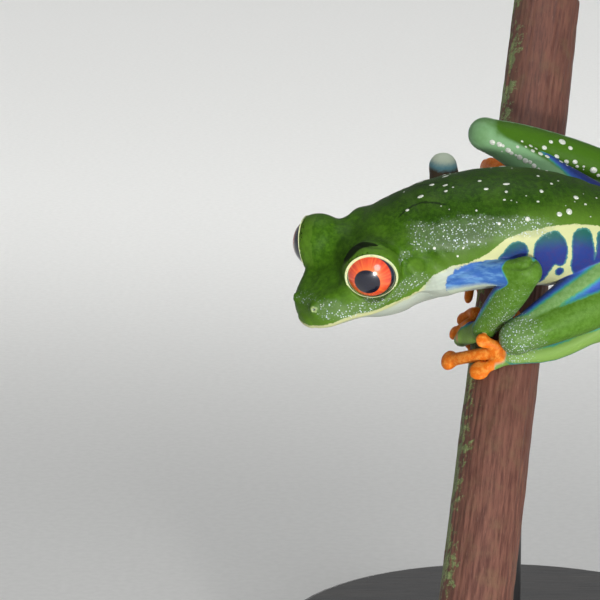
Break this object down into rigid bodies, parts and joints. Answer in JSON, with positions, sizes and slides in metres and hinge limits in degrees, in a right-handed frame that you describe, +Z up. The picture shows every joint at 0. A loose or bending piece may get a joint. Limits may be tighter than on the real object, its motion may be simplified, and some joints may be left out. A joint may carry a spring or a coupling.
{
  "type": "red-eyed tree frog on a stem",
  "caption": "Life-size still model of a red-eyed tree frog gripping a cut length of leaning plant stem, held by a rod on a round display base.",
  "frame": {"origin": "centre of the underside of the stand's round base", "axes": "+Z up, -X the way the frog's body faces, -Y the frog's left side, which the stem's low end leans towards"},
  "size_m": [0.064, 0.0787, 0.0948],
  "materials": {
    "green_skin": "moist, glossy skin, leaf green",
    "flank_skin": "moist, glossy skin, blue with cream bars",
    "orange_skin": "moist, glossy skin, orange",
    "eye": "wet, mirror-smooth",
    "stem_bark": "dry, finely ribbed rind",
    "rod_paint": "satin black",
    "base_wood": "satin black lacquer"
  },
  "bodies": {
    "root": {"head": "green_skin", "torso": "flank_skin", "eye_left": "eye", "eye_right": "eye", "perch_stem": "stem_bark", "stand_rod": "rod_paint", "stand_base": "base_wood", "upper_arm_left": "flank_skin", "forearm_left": "green_skin", "thigh_left": "green_skin", "shank_left": "green_skin", "tarsus_left": "green_skin", "hand_left": "orange_skin", "foot_left": "orange_skin", "upper_arm_right": "flank_skin", "forearm_right": "green_skin", "thigh_right": "green_skin", "shank_right": "green_skin", "tarsus_right": "green_skin", "hand_right": "orange_skin", "foot_right": "orange_skin"}
  },
  "joints": []
}
